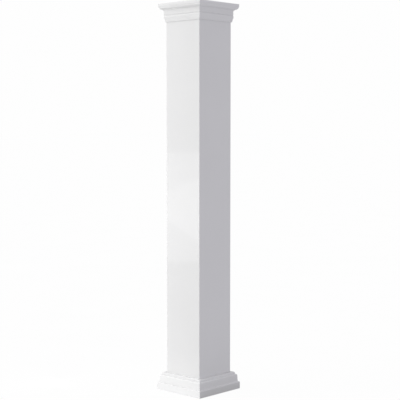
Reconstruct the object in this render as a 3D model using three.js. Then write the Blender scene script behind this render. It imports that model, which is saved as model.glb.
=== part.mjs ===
// Square box column for a porch, 12 in nominal and 8 ft tall, made up as joiners make it: four
// mitred boards glued into a hollow shaft, four mitred lengths of crown moulding round its head
// and four of base moulding round its foot. The hollow runs right through, for the post that
// carries the load. Millimetres, +Z up, origin on the floor at the middle of the shaft.
import * as THREE from "three";

const INCH = 25.4;

// Driving dimensions
const COLUMN_HEIGHT = 96 * INCH;
const SHAFT_WIDTH = 11.25 * INCH;
const BOARD_THICKNESS = 0.625 * INCH;
const CAPITAL_HEIGHT = 4.4375 * INCH;
const BASE_HEIGHT = 4.25 * INCH;

// Glue line left open at every mitre and behind the mouldings
const JOINT_GAP = 0.3;

// Straight steps along a quarter round are twice this, along a free curve just this
const CURVE_STEPS = 6;

// Capital members from the bottom up: height, and how far each stands out from the shaft face
const NECK = { height: 7.5, out: 6 };
const OGEE = { fillet: 2, height: 23, out: 7.5 };
const BEAD = { height: 10, out: 12 };
const QUIRK = { height: 3, out: 9.5 };
const ASTRAGAL = { height: 10, out: 11.5 };
const COVE = { height: 19, footOut: 10.5, headOut: 16 };
const DRIP = { height: 3, out: 18.5 };
const OVOLO = { height: 19, out: 35.5 };
const LIP = { out: 37 };

// Base members from the floor up, in the same way
const PLINTH = { height: 45, out: 44, round: 5 };
const BAND = { height: 5, out: 35.5 };
const SWELL = { batter: 34, footOut: 34, headOut: 32.5, round: 10, topOut: 23 };
const CAP_FILLET = { height: 9.5, out: 21.5, washOut: 16 };

const QUARTER = Math.PI / 2;
const SIDES = ["front", "right", "back", "left"];

// Every section is drawn with x as the distance out from the shaft face and y as the height.

function boardSection() {
  const section = new THREE.Shape();
  section.moveTo(-BOARD_THICKNESS, 0);
  section.lineTo(0, 0);
  section.lineTo(0, COLUMN_HEIGHT);
  section.lineTo(-BOARD_THICKNESS, COLUMN_HEIGHT);
  section.closePath();
  return section;
}

function capitalSection() {
  const ogeeFoot = NECK.height + OGEE.fillet;
  const ogeeHead = ogeeFoot + OGEE.height;
  const beadHead = ogeeHead + BEAD.height;
  const quirkHead = beadHead + QUIRK.height;
  const coveFoot = quirkHead + ASTRAGAL.height;
  const coveHead = coveFoot + COVE.height;
  const ovoloFoot = coveHead + DRIP.height;
  const ovoloHead = ovoloFoot + OVOLO.height;

  const section = new THREE.Shape();
  section.moveTo(JOINT_GAP, 0);
  section.lineTo(NECK.out, 0);
  section.lineTo(NECK.out, NECK.height);
  section.lineTo(OGEE.out, NECK.height);
  section.lineTo(OGEE.out, ogeeFoot);
  const ogeeMiddle = (ogeeFoot + ogeeHead) / 2;
  section.bezierCurveTo(OGEE.out, ogeeMiddle, BEAD.out, ogeeMiddle, BEAD.out, ogeeHead);
  section.absellipse(OGEE.out, ogeeHead, BEAD.out - OGEE.out, BEAD.height, 0, QUARTER);
  section.lineTo(QUIRK.out, beadHead);
  section.lineTo(QUIRK.out, quirkHead);
  section.lineTo(ASTRAGAL.out, quirkHead);
  section.lineTo(ASTRAGAL.out, coveFoot);
  section.lineTo(COVE.footOut, coveFoot);
  const coveDepth = COVE.headOut - COVE.footOut;
  section.absellipse(COVE.headOut, coveFoot, coveDepth, COVE.height, Math.PI, QUARTER, true);
  section.lineTo(DRIP.out, coveHead);
  section.lineTo(DRIP.out, ovoloFoot);
  section.absellipse(DRIP.out, ovoloHead, OVOLO.out - DRIP.out, OVOLO.height, -QUARTER, 0);
  section.lineTo(LIP.out, ovoloHead);
  section.lineTo(LIP.out, CAPITAL_HEIGHT);
  section.lineTo(JOINT_GAP, CAPITAL_HEIGHT);
  section.closePath();
  return section;
}

function baseSection() {
  const roundFoot = PLINTH.height - PLINTH.round;
  const roundOut = PLINTH.out - PLINTH.round;
  const swellFoot = PLINTH.height + BAND.height;
  const swellRound = swellFoot + SWELL.batter;
  const filletFoot = swellRound + SWELL.round;
  const washFoot = filletFoot + CAP_FILLET.height;

  const section = new THREE.Shape();
  section.moveTo(JOINT_GAP, 0);
  section.lineTo(PLINTH.out, 0);
  section.lineTo(PLINTH.out, roundFoot);
  section.absarc(roundOut, roundFoot, PLINTH.round, 0, QUARTER);
  section.lineTo(BAND.out, PLINTH.height);
  section.lineTo(BAND.out, swellFoot);
  section.lineTo(SWELL.footOut, swellFoot);
  section.lineTo(SWELL.headOut, swellRound);
  const swellReach = SWELL.headOut - SWELL.topOut;
  section.absellipse(SWELL.topOut, swellRound, swellReach, SWELL.round, 0, QUARTER);
  section.lineTo(CAP_FILLET.out, filletFoot);
  section.lineTo(CAP_FILLET.out, washFoot);
  section.lineTo(CAP_FILLET.washOut, BASE_HEIGHT);
  section.lineTo(JOINT_GAP, BASE_HEIGHT);
  section.closePath();
  return section;
}

// Runs a section along the front of the shaft. Both ends are cut on the diagonals of the column,
// short of them by half the glue line, so a point further out also reaches further sideways.
function mitredLength(section, foot) {
  const strip = new THREE.ExtrudeGeometry(section, {
    depth: 1,
    bevelEnabled: false,
    curveSegments: CURVE_STEPS,
  });
  const points = strip.getAttribute("position");
  for (let i = 0; i < points.count; i++) {
    const fromAxis = SHAFT_WIDTH / 2 + points.getX(i);
    const reach = fromAxis - JOINT_GAP * Math.SQRT1_2;
    const end = points.getZ(i) > 0.5 ? -1 : 1;
    points.setXYZ(i, end * reach, -fromAxis, foot + points.getY(i));
  }
  strip.computeVertexNormals();
  return strip;
}

// Four copies of one length, a quarter turn apart, each a piece of its own
function fourSides(name, section, foot, finish) {
  const ring = new THREE.Group();
  SIDES.forEach((side, turn) => {
    const material = new THREE.MeshStandardMaterial(finish);
    const piece = new THREE.Mesh(mitredLength(section, foot), material);
    piece.name = `${name}_${side}`;
    piece.rotation.z = turn * QUARTER;
    ring.add(piece);
  });
  return ring;
}

const SHAFT_FINISH = { color: 0xf2f2f2, roughness: 0.32, metalness: 0 };
const TRIM_FINISH = { color: 0xf4f4f4, roughness: 0.38, metalness: 0 };

const column = new THREE.Group();
column.add(fourSides("shaft_board", boardSection(), 0, SHAFT_FINISH));
column.add(fourSides("capital_moulding", capitalSection(), COLUMN_HEIGHT - CAPITAL_HEIGHT, TRIM_FINISH));
column.add(fourSides("base_moulding", baseSection(), 0, TRIM_FINISH));

export default column;
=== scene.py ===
"""Square box column in semi-gloss white PVC.

A shaft of four mitred boards, with mitred crown moulding round its head and base moulding round its foot.
Metres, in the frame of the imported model: +Z up, front towards -Y, origin on the floor on the axis.
Moulding sections are drawn in millimetres, out from the shaft face and up from the moulding's foot.
"""
import math
from types import SimpleNamespace as Measures

import bpy
from mathutils import Matrix, Vector


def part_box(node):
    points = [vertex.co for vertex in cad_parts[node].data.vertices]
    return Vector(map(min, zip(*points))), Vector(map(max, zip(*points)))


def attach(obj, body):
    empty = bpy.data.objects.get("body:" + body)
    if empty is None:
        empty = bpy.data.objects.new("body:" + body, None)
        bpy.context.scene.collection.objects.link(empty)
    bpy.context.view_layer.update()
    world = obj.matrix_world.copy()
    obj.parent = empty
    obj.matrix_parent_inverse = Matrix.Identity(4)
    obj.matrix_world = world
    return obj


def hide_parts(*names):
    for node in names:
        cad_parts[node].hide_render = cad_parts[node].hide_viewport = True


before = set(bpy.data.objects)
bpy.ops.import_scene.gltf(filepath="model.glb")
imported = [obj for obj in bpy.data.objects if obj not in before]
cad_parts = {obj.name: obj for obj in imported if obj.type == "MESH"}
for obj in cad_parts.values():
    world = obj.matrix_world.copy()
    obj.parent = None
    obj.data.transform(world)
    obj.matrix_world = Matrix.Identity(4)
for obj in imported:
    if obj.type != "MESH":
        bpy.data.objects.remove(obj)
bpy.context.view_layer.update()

MM = 0.001
SIDES = ("front", "right", "back", "left")

# Sizes read from the frame
board_low, board_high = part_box("shaft_board_front")
capital_low, capital_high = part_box("capital_moulding_front")
base_low, base_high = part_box("base_moulding_front")
HALF_SHAFT = -board_low.y
BOARD_THICKNESS = board_high.y - board_low.y
COLUMN_HEIGHT = board_high.z
CAPITAL_HEIGHT = (capital_high.z - capital_low.z) / MM
BASE_HEIGHT = (base_high.z - base_low.z) / MM

# Joinery, in millimetres: the gap at a glued mitre, the rounding of the shaft's arrises and of the
# mouldings' edges, and the chamfer round a cut end
GLUE_LINE = 0.1
ARRIS = 2.0
EASE = 0.7
END_CHAMFER = 0.2

# Straight steps along a curve, and round an eased corner
ARC_STEPS = 14
EASE_STEPS = 3

# A corner is eased where it turns by more than this, and takes at most this share of the line beside it
EASED_TURN = math.radians(20)
EASED_SHARE = 0.4

# Faces that meet at more than this angle keep a sharp edge in the shading
SHARP_EDGE = math.radians(38)

# Capital members from the bottom up, in millimetres: height, and how far each stands out from the shaft
NECK = Measures(height=7.5, out=6)
OGEE = Measures(fillet=2, height=23, out=7.5)
BEAD = Measures(height=10, out=12)
QUIRK = Measures(height=3, out=9.5)
ASTRAGAL = Measures(height=10, out=11.5)
COVE = Measures(height=19, foot_out=10.5, head_out=16)
DRIP = Measures(height=3, out=18.5)
OVOLO = Measures(height=19, out=35.5)
LIP = Measures(out=37)

# Base members from the floor up, in the same way
PLINTH = Measures(height=45, out=44, round=5)
BAND = Measures(height=5, out=35.5)
SWELL = Measures(batter=34, foot_out=34, head_out=32.5, round=10, top_out=23)
CAP_FILLET = Measures(height=9.5, out=21.5, wash_out=16)

# Material slots on every piece
SKIN, CUT, BACK = range(3)


def corners(*pairs):
    return [Vector(pair) for pair in pairs]


def arc(centre_out, centre_up, reach, rise, start, end):
    """Points of an elliptical arc between two angles in degrees."""
    points = []
    for step in range(ARC_STEPS + 1):
        angle = math.radians(start + (end - start) * step / ARC_STEPS)
        points.append(Vector((centre_out + reach * math.cos(angle), centre_up + rise * math.sin(angle))))
    return points


def ogee(foot_out, foot, head_out, head):
    """Points of an S curve that leaves its foot and meets its head upright."""
    middle = (foot + head) / 2
    ends = corners((foot_out, foot), (foot_out, middle), (head_out, middle), (head_out, head))
    points = []
    for step in range(ARC_STEPS + 1):
        t = step / ARC_STEPS
        row = ends
        while len(row) > 1:
            row = [near.lerp(far, t) for near, far in zip(row, row[1:])]
        points.append(row[0])
    return points


def capital_section():
    ogee_foot = NECK.height + OGEE.fillet
    ogee_head = ogee_foot + OGEE.height
    bead_head = ogee_head + BEAD.height
    quirk_head = bead_head + QUIRK.height
    cove_foot = quirk_head + ASTRAGAL.height
    cove_head = cove_foot + COVE.height
    ovolo_foot = cove_head + DRIP.height
    ovolo_head = ovolo_foot + OVOLO.height
    section = corners((GLUE_LINE, 0), (NECK.out, 0), (NECK.out, NECK.height), (OGEE.out, NECK.height))
    section += ogee(OGEE.out, ogee_foot, BEAD.out, ogee_head)
    section += arc(OGEE.out, ogee_head, BEAD.out - OGEE.out, BEAD.height, 0, 90)[1:]
    section += corners((QUIRK.out, bead_head), (QUIRK.out, quirk_head), (ASTRAGAL.out, quirk_head))
    section += corners((ASTRAGAL.out, cove_foot))
    section += arc(COVE.head_out, cove_foot, COVE.head_out - COVE.foot_out, COVE.height, 180, 90)
    section += corners((DRIP.out, cove_head))
    section += arc(DRIP.out, ovolo_head, OVOLO.out - DRIP.out, OVOLO.height, -90, 0)
    section += corners((LIP.out, ovolo_head), (LIP.out, CAPITAL_HEIGHT), (GLUE_LINE, CAPITAL_HEIGHT))
    return section


def base_section():
    round_foot = PLINTH.height - PLINTH.round
    swell_foot = PLINTH.height + BAND.height
    swell_round = swell_foot + SWELL.batter
    fillet_foot = swell_round + SWELL.round
    wash_foot = fillet_foot + CAP_FILLET.height
    section = corners((GLUE_LINE, 0), (PLINTH.out, 0))
    section += arc(PLINTH.out - PLINTH.round, round_foot, PLINTH.round, PLINTH.round, 0, 90)
    section += corners((BAND.out, PLINTH.height), (BAND.out, swell_foot), (SWELL.foot_out, swell_foot))
    section += arc(SWELL.top_out, swell_round, SWELL.head_out - SWELL.top_out, SWELL.round, 0, 90)
    section += corners((CAP_FILLET.out, fillet_foot), (CAP_FILLET.out, wash_foot))
    section += corners((CAP_FILLET.wash_out, BASE_HEIGHT), (GLUE_LINE, BASE_HEIGHT))
    return section


def eased(section, size):
    """The same closed outline with each sharp corner rounded over by up to size."""
    rounded = []
    for place, corner in enumerate(section):
        back = section[place - 1] - corner
        ahead = section[(place + 1) % len(section)] - corner
        if math.pi - back.angle(ahead) < EASED_TURN:
            rounded.append(corner)
            continue
        cut = min(size, EASED_SHARE * back.length, EASED_SHARE * ahead.length)
        start = corner + back.normalized() * cut
        end = corner + ahead.normalized() * cut
        for step in range(EASE_STEPS + 1):
            t = step / EASE_STEPS
            rounded.append(start.lerp(corner, t).lerp(corner.lerp(end, t), t))
    return rounded


def drawn_in(section, size):
    """The same anticlockwise outline moved inwards by size, for the chamfer at a cut end."""
    moved = []
    for place, corner in enumerate(section):
        along = section[(place + 1) % len(section)] - section[place - 1]
        inward = Vector((-along.y, along.x)).normalized()
        moved.append(corner + inward * size)
    return moved


def girths(section):
    """Distance run round the outline up to each point, and back to the first."""
    run = [0.0]
    for place in range(len(section)):
        run.append(run[-1] + (section[(place + 1) % len(section)] - section[place]).length)
    return run


def lofted(name, rings, places, girth, side_slots, turn):
    """A closed body through rings of points, turned to its side of the column.

    The map named run holds the distance along the piece and round its section, in metres.
    """
    count = len(rings[0])
    points = [point for ring in rings for point in ring]
    faces = []
    maps = []
    slots = []
    for level in range(len(rings) - 1):
        low = level * count
        high = low + count
        near, far = places[level], places[level + 1]
        for place in range(count):
            ahead = (place + 1) % count
            faces.append((low + place, low + ahead, high + ahead, high + place))
            start, end = girth[place], girth[place + 1]
            maps.append(((near, start), (near, end), (far, end), (far, start)))
            slots.append(side_slots[place])
    last = (len(rings) - 1) * count
    faces.append(tuple(reversed(range(count))))
    faces.append(tuple(range(last, last + count)))
    for ring in (rings[0][::-1], rings[-1]):
        maps.append([(point.x, point.y) for point in ring])
        slots.append(CUT)
    mesh = bpy.data.meshes.new(name)
    mesh.from_pydata(points, [], faces)
    layer = mesh.uv_layers.new(name="run")
    for face, face_map, slot in zip(mesh.polygons, maps, slots):
        face.material_index = slot
        face.use_smooth = True
        for loop, (along, around) in zip(face.loop_indices, face_map):
            layer.data[loop].uv = (along + turn, around)
    mesh.transform(Matrix.Rotation(turn * math.pi / 2, 4, "Z"))
    mesh.validate()
    mesh.set_sharp_from_angle(angle=SHARP_EDGE)
    piece = bpy.data.objects.new(name, mesh)
    bpy.context.scene.collection.objects.link(piece)
    weighted = piece.modifiers.new("flat faces stay flat", "WEIGHTED_NORMAL")
    weighted.keep_sharp = True
    return piece


def moulding(name, section, foot, turn):
    """One length of moulding along a side of the shaft, with both ends cut on the mitre."""
    whole = eased(section, EASE)
    drawn = drawn_in(whole, END_CHAMFER)
    girth = [run * MM for run in girths(whole)]
    levels = ((1, drawn, 0), (1, whole, END_CHAMFER), (-1, whole, END_CHAMFER), (-1, drawn, 0))
    rings = []
    places = []
    for end, outline, back in levels:
        ring = []
        for point in outline:
            from_axis = HALF_SHAFT + point.x * MM
            reach = from_axis - (back + GLUE_LINE / 2) * MM
            ring.append(Vector((end * reach, -from_axis, foot + point.y * MM)))
        rings.append(ring)
        places.append(end * (HALF_SHAFT - back * MM))
    return lofted(name, rings, places, girth, [SKIN] * len(whole), turn)


def board(name, turn):
    """One shaft board, mitred along both long edges, with the outer arris rounded over."""
    arris = ARRIS * MM
    glue = GLUE_LINE / 2 * MM
    inner = HALF_SHAFT - BOARD_THICKNESS
    bend = HALF_SHAFT - arris
    right = []
    for step in range(EASE_STEPS + 1):
        angle = math.radians(-90 + 45 * step / EASE_STEPS)
        right.append(Vector((bend + arris * math.cos(angle) - glue, -bend + arris * math.sin(angle))))
    right.append(Vector((inner - glue, -inner)))
    left = [Vector((-point.x, point.y)) for point in reversed(right)]
    outline = left + right
    count = len(outline)
    side_slots = [SKIN] * count
    side_slots[0] = CUT
    side_slots[count - 2] = CUT
    side_slots[count - 1] = BACK
    chamfer = END_CHAMFER * MM
    drawn = drawn_in(outline, chamfer)
    levels = ((0, drawn), (chamfer, outline), (COLUMN_HEIGHT - chamfer, outline), (COLUMN_HEIGHT, drawn))
    rings = []
    places = []
    for height, ring in levels:
        rings.append([Vector((point.x, point.y, height)) for point in ring])
        places.append(height)
    return lofted(name, rings, places, girths(outline), side_slots, turn)


# The part of a noise's values that tints and roughness are spread over
NOISE_LOW = 0.3
NOISE_HIGH = 0.7


class Nodes:
    """A material's node tree, with short calls for making and joining nodes."""

    def __init__(self, name):
        self.material = bpy.data.materials.new(name)
        self.material.use_nodes = True
        self.tree = self.material.node_tree
        self.shader = self.tree.nodes["Principled BSDF"]

    def make(self, kind, **settings):
        node = self.tree.nodes.new("ShaderNode" + kind)
        for key, value in settings.items():
            if key in node.inputs:
                node.inputs[key].default_value = value
            else:
                setattr(node, key, value)
        return node

    def join(self, output, socket):
        self.tree.links.new(output, socket)

    def noise(self, vector, scale, detail):
        node = self.make("TexNoise", Scale=scale, Detail=detail)
        self.join(vector, node.inputs["Vector"])
        return node.outputs["Fac"]

    def streaks(self, vector, scales, detail):
        """Noise with a scale of its own along each axis."""
        node = self.make("Mapping", Scale=scales)
        self.join(vector, node.inputs["Vector"])
        return self.noise(node.outputs["Vector"], scale=1.0, detail=detail)

    def spread(self, value, low, high):
        """Takes a noise's values to the range from low to high."""
        node = self.make("MapRange")
        node.inputs["From Min"].default_value = NOISE_LOW
        node.inputs["From Max"].default_value = NOISE_HIGH
        node.inputs["To Min"].default_value = low
        node.inputs["To Max"].default_value = high
        self.join(value, node.inputs["Value"])
        return node.outputs["Result"]

    def tinted(self, value, dark, light):
        """Takes a noise's values to the colours from dark to light."""
        node = self.make("ValToRGB")
        low, high = node.color_ramp.elements
        low.position = NOISE_LOW
        low.color = (*dark, 1)
        high.position = NOISE_HIGH
        high.color = (*light, 1)
        self.join(value, node.inputs["Fac"])
        return node.outputs["Color"]

    def bump(self, height, distance, strength, under=None):
        node = self.make("Bump", Distance=distance, Strength=strength)
        self.join(height, node.inputs["Height"])
        if under is not None:
            self.join(under, node.inputs["Normal"])
        return node.outputs["Normal"]


# Colours, each from its darkest to its lightest
BOARD_WHITE = ((0.88, 0.88, 0.883), (0.895, 0.895, 0.898))
TRIM_WHITE = ((0.905, 0.905, 0.908), (0.92, 0.92, 0.923))
SAWN_WHITE = ((0.74, 0.735, 0.72), (0.82, 0.815, 0.80))
BACK_WHITE = ((0.70, 0.70, 0.69), (0.78, 0.78, 0.775))
FLOOR_GREY = ((0.032, 0.032, 0.032), (0.038, 0.038, 0.038))


def pvc_skin(name, whites, roughness, die_lines):
    """Extruded PVC: a glossy film on a duller body, with faint orange peel and die lines."""
    nodes = Nodes(name)
    spot = nodes.make("TexCoord").outputs["Object"]
    run = nodes.make("UVMap", uv_map="run").outputs["UV"]
    clouds = nodes.noise(spot, scale=5.0, detail=4.0)
    nodes.join(nodes.tinted(clouds, *whites), nodes.shader.inputs["Base Color"])
    dull_lines = nodes.streaks(run, scales=(1.5, 160.0, 1.0), detail=4.0)
    dullness = nodes.spread(dull_lines, low=roughness - 0.04, high=roughness + 0.05)
    nodes.join(dullness, nodes.shader.inputs["Roughness"])
    waves = nodes.noise(spot, scale=9.0, detail=1.0)
    lines = nodes.streaks(run, scales=(2.0, 700.0, 1.0), detail=2.0)
    peel = nodes.noise(spot, scale=320.0, detail=2.0)
    normal = nodes.bump(waves, distance=0.004, strength=0.06)
    normal = nodes.bump(lines, distance=0.0004, strength=die_lines, under=normal)
    normal = nodes.bump(peel, distance=0.0005, strength=0.05, under=normal)
    nodes.join(normal, nodes.shader.inputs["Normal"])
    nodes.shader.inputs["IOR"].default_value = 1.5
    nodes.shader.inputs["Coat Weight"].default_value = 0.8
    nodes.shader.inputs["Coat Roughness"].default_value = 0.05
    return nodes.material


def pvc_cut(name):
    """Sawn cellular PVC: matt, with fine closed cells and faint saw marks."""
    nodes = Nodes(name)
    spot = nodes.make("TexCoord").outputs["Object"]
    clouds = nodes.noise(spot, scale=60.0, detail=5.0)
    nodes.join(nodes.tinted(clouds, *SAWN_WHITE), nodes.shader.inputs["Base Color"])
    nodes.join(nodes.spread(clouds, low=0.72, high=0.86), nodes.shader.inputs["Roughness"])
    cells = nodes.make("TexVoronoi", Scale=1400.0)
    nodes.join(spot, cells.inputs["Vector"])
    saw_marks = nodes.streaks(spot, scales=(30.0, 30.0, 900.0), detail=2.0)
    normal = nodes.bump(cells.outputs["Distance"], distance=0.0004, strength=0.5)
    normal = nodes.bump(saw_marks, distance=0.0003, strength=0.25, under=normal)
    nodes.join(normal, nodes.shader.inputs["Normal"])
    return nodes.material


def pvc_back(name):
    """The board's inner face: the same sheet, duller, with scuffs from the saw bench."""
    nodes = Nodes(name)
    spot = nodes.make("TexCoord").outputs["Object"]
    run = nodes.make("UVMap", uv_map="run").outputs["UV"]
    clouds = nodes.noise(spot, scale=7.0, detail=6.0)
    nodes.join(nodes.tinted(clouds, *BACK_WHITE), nodes.shader.inputs["Base Color"])
    scuffs = nodes.streaks(run, scales=(8.0, 300.0, 1.0), detail=5.0)
    nodes.join(nodes.spread(scuffs, low=0.5, high=0.68), nodes.shader.inputs["Roughness"])
    nodes.join(nodes.bump(scuffs, distance=0.0004, strength=0.2), nodes.shader.inputs["Normal"])
    return nodes.material


def pale_floor(name):
    """A matt floor, pale by its own glow, so that the column's shadow on it stays faint."""
    nodes = Nodes(name)
    spot = nodes.make("TexCoord").outputs["Object"]
    clouds = nodes.noise(spot, scale=1.5, detail=4.0)
    nodes.join(nodes.tinted(clouds, *FLOOR_GREY), nodes.shader.inputs["Base Color"])
    nodes.shader.inputs["Roughness"].default_value = 0.9
    nodes.shader.inputs["Specular IOR Level"].default_value = 0.0
    nodes.shader.inputs["Emission Color"].default_value = (1, 1, 1, 1)
    nodes.shader.inputs["Emission Strength"].default_value = FLOOR_GLOW
    return nodes.material


# Camera, where the photograph was taken from: place and aim in metres, lens and sensor in millimetres
CAMERA_PLACE = Vector((4.637, -4.889, 1.664))
CAMERA_AIM = Vector((0.0063, 0.0060, 1.2103))
CAMERA_LENS = 96.0
CAMERA_SENSOR = 36.0
CAMERA_REACH = 500.0


def make_camera():
    data = bpy.data.cameras.new("camera")
    data.lens = CAMERA_LENS
    data.sensor_width = CAMERA_SENSOR
    data.clip_end = CAMERA_REACH
    camera = bpy.data.objects.new("camera", data)
    camera.location = CAMERA_PLACE
    camera.rotation_mode = "QUATERNION"
    camera.rotation_quaternion = (CAMERA_AIM - CAMERA_PLACE).to_track_quat("-Z", "Y")
    bpy.context.scene.collection.objects.link(camera)
    bpy.context.scene.camera = camera


# Studio light, in radiance: what the world shows the eye, what it sends from each side, and the glow of
# the floor and of the cards
WORLD_WHITE = (0.99, 0.99, 0.99)
SKY_LEFT = (0.505, 0.505, 0.502)
SKY_RIGHT = (0.535, 0.528, 0.563)
SKY_TOP = (1.44, 1.44, 1.43)
FLOOR_GLOW = 0.963
WINDOW_GLOW = 3.05
BOUNCE_GLOW = 0.97
FLAG_GLOW = 0.26
STRIP_GLOW = 2.4

# Directions in which the world changes, as seen from the column
TO_THE_RIGHT = (1, 1, 0)
TO_THE_TOP = (-0.6, -0.6, 0.53)

# Key lamp, square, in metres and watts
KEY_PLACE = Vector((-2.3, -2.07, 0.95))
KEY_AIM = Vector((0, -0.14, 1.17))
KEY_SIZE = 1.0
KEY_WATTS = 3.1

# Upright edges of the standing cards: a window for the gloss of the front face, and a strip beside the
# column for its outer edge
WINDOW_LEFT = Measures(x=-2.24, y=-2.14, foot=0.88, head=1.06)
WINDOW_RIGHT = Measures(x=-1.94, y=-2.43, foot=0.59, head=1.24)
STRIP_LEFT = Measures(x=-0.85, y=-0.45, foot=-0.6, head=3.2)
STRIP_RIGHT = Measures(x=-0.7, y=-0.6, foot=-0.6, head=3.2)

# Level sheets: the floor, and two cards just under it, one to brighten the front of the base and a dim
# one to darken its right side
FLOOR = Measures(left=-150, right=150, near=-150, far=150, height=0)
BOUNCE = Measures(left=-0.4, right=0.2, near=-0.39, far=-0.19, height=-0.001)
FLAG = Measures(left=0.19, right=0.31, near=-0.2, far=0.3, height=-0.002)

# Places of the colours among a mix node's sockets
MIX_FIRST, MIX_SECOND, MIX_RESULT = 6, 7, 2


def mixed(tree, factor, first, second):
    """A colour between two colours, either of which may come from another node."""
    node = tree.nodes.new("ShaderNodeMix")
    node.data_type = "RGBA"
    tree.links.new(factor, node.inputs["Factor"])
    for colour, socket in ((first, node.inputs[MIX_FIRST]), (second, node.inputs[MIX_SECOND])):
        if isinstance(colour, tuple):
            socket.default_value = (*colour, 1)
        else:
            tree.links.new(colour, socket)
    return node.outputs[MIX_RESULT]


def facing(tree, direction, low, high):
    """How nearly a direction of view is the given one, taken smoothly from 0 at low to 1 at high."""
    towards = tree.nodes.new("ShaderNodeTexCoord")
    along = tree.nodes.new("ShaderNodeVectorMath")
    along.operation = "DOT_PRODUCT"
    along.inputs[1].default_value = Vector(direction).normalized()
    tree.links.new(towards.outputs["Generated"], along.inputs[0])
    node = tree.nodes.new("ShaderNodeMapRange")
    node.interpolation_type = "SMOOTHSTEP"
    node.inputs["From Min"].default_value = low
    node.inputs["From Max"].default_value = high
    tree.links.new(along.outputs["Value"], node.inputs["Value"])
    return node.outputs["Result"]


def make_world():
    """White to the eye. As a light it is bright high on the front left and cool on the right."""
    world = bpy.data.worlds.new("studio")
    world.use_nodes = True
    bpy.context.scene.world = world
    tree = world.node_tree
    sides = mixed(tree, facing(tree, TO_THE_RIGHT, low=-0.45, high=0.45), SKY_LEFT, SKY_RIGHT)
    whole = mixed(tree, facing(tree, TO_THE_TOP, low=0.5, high=0.95), sides, SKY_TOP)
    lit = tree.nodes["Background"]
    tree.links.new(whole, lit.inputs["Color"])
    seen = tree.nodes.new("ShaderNodeBackground")
    seen.inputs["Color"].default_value = (*WORLD_WHITE, 1)
    rays = tree.nodes.new("ShaderNodeLightPath")
    either = tree.nodes.new("ShaderNodeMixShader")
    tree.links.new(rays.outputs["Is Camera Ray"], either.inputs["Fac"])
    tree.links.new(lit.outputs["Background"], either.inputs[1])
    tree.links.new(seen.outputs["Background"], either.inputs[2])
    tree.links.new(either.outputs["Shader"], tree.nodes["World Output"].inputs["Surface"])


def upright_corners(left, right):
    """Corners of a standing card, from its two upright edges."""
    feet = [(left.x, left.y, left.foot), (right.x, right.y, right.foot)]
    heads = [(right.x, right.y, right.head), (left.x, left.y, left.head)]
    return feet + heads


def level_corners(sheet):
    """Corners of a sheet that lies level."""
    near = [(sheet.left, sheet.near, sheet.height), (sheet.right, sheet.near, sheet.height)]
    far = [(sheet.right, sheet.far, sheet.height), (sheet.left, sheet.far, sheet.height)]
    return near + far


def stage_sheet(name, places, material):
    mesh = bpy.data.meshes.new(name)
    mesh.from_pydata(places, [], [range(len(places))])
    mesh.materials.append(material)
    sheet = bpy.data.objects.new(name, mesh)
    bpy.context.scene.collection.objects.link(sheet)
    return sheet


def make_floor():
    """A floor that takes shadows but throws no light back, so the shaft is lit alike all the way up."""
    floor = stage_sheet("floor", level_corners(FLOOR), pale_floor("pale floor"))
    floor.visible_diffuse = False
    floor.visible_glossy = False
    floor.visible_shadow = False


def card(name, places, glow):
    """A glowing card that the camera doesn't see."""
    nodes = Nodes("card " + name)
    emission = nodes.make("Emission", Strength=glow)
    nodes.join(emission.outputs["Emission"], nodes.tree.nodes["Material Output"].inputs["Surface"])
    sheet = stage_sheet("card_" + name, places, nodes.material)
    sheet.visible_camera = False


def soft_box(name, place, aim, size, watts):
    data = bpy.data.lights.new(name, "AREA")
    data.shape = "SQUARE"
    data.size = size
    data.energy = watts
    light = bpy.data.objects.new(name, data)
    light.location = place
    light.rotation_mode = "QUATERNION"
    light.rotation_quaternion = (aim - place).to_track_quat("-Z", "Y")
    light.visible_camera = False
    bpy.context.scene.collection.objects.link(light)


make_camera()
make_world()
make_floor()
soft_box("key", KEY_PLACE, KEY_AIM, KEY_SIZE, KEY_WATTS)
card("window", upright_corners(WINDOW_LEFT, WINDOW_RIGHT), WINDOW_GLOW)
card("bounce", level_corners(BOUNCE), BOUNCE_GLOW)
card("flag", level_corners(FLAG), FLAG_GLOW)
card("strip", upright_corners(STRIP_LEFT, STRIP_RIGHT), STRIP_GLOW)
bpy.context.scene.view_settings.view_transform = "Standard"

board_skin = pvc_skin("board pvc", BOARD_WHITE, roughness=0.46, die_lines=0.02)
trim_skin = pvc_skin("trim pvc", TRIM_WHITE, roughness=0.48, die_lines=0.03)
cut_pvc = pvc_cut("sawn pvc")
back_pvc = pvc_back("board back")


def dress(piece, node, skin):
    """Gives a piece its materials, sets it on the column and lets it stand for its solid."""
    for material in (skin, cut_pvc, back_pvc):
        piece.data.materials.append(material)
    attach(piece, "root")
    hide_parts(node)


for turn, side in enumerate(SIDES):
    dress(board("board_" + side, turn), "shaft_board_" + side, board_skin)
    crown = moulding("crown_" + side, capital_section(), COLUMN_HEIGHT - CAPITAL_HEIGHT * MM, turn)
    dress(crown, "capital_moulding_" + side, trim_skin)
    skirt = moulding("base_" + side, base_section(), 0.0, turn)
    dress(skirt, "base_moulding_" + side, trim_skin)
